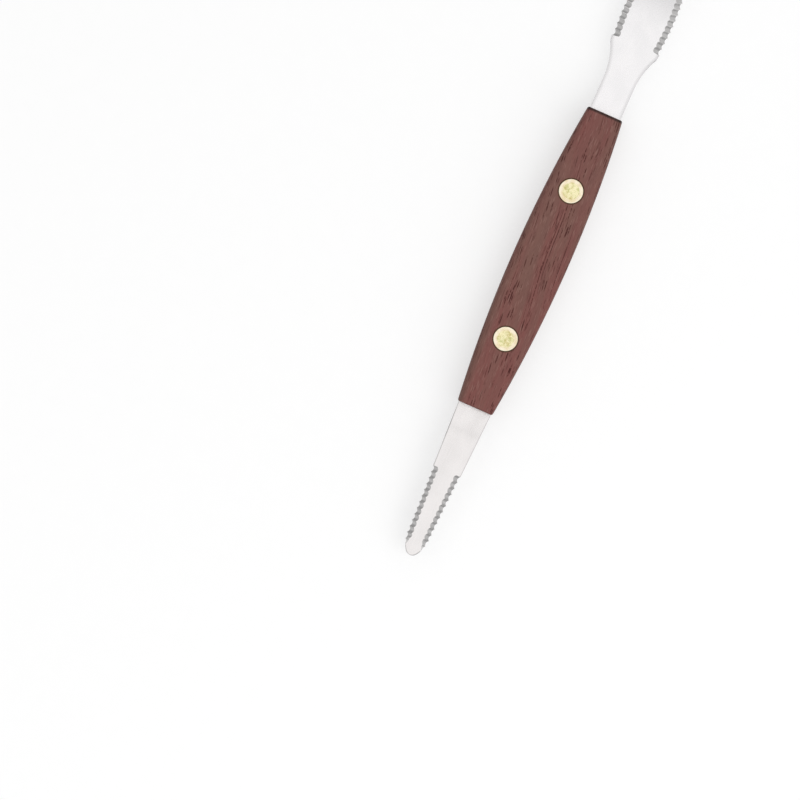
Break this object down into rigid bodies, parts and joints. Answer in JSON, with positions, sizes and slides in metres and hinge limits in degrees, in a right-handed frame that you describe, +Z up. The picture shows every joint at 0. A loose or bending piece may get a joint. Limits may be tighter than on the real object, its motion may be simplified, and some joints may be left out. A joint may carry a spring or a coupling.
{
  "type": "grapefruit knife",
  "caption": "Double-ended knife with a bent serrated blade at one end and parallel twin serrated blades at the other, their full tangs riveted between bowed wooden scales.",
  "frame": {"origin": "middle of the handle, on the flat outer face of the back scale that the knife lies on", "axes": "+X along the knife towards the bent blade, +Y across the handle, +Z up through the stack to the front scale"},
  "size_m": [0.2153, 0.0178, 0.0213],
  "materials": {
    "wood": "oiled reddish brown hardwood",
    "steel": "satin stainless sheet",
    "brass": "pale brass, ground flush with the wood"
  },
  "bodies": {
    "root": {"front_scale": "wood", "back_scale": "wood", "bent_blade": "steel", "front_twin_blade": "steel", "back_twin_blade": "steel", "rivet_stud_bent_end": "brass", "rivet_stud_twin_end": "brass", "rivet_sleeve_bent_end": "brass", "rivet_sleeve_twin_end": "brass"}
  },
  "joints": []
}
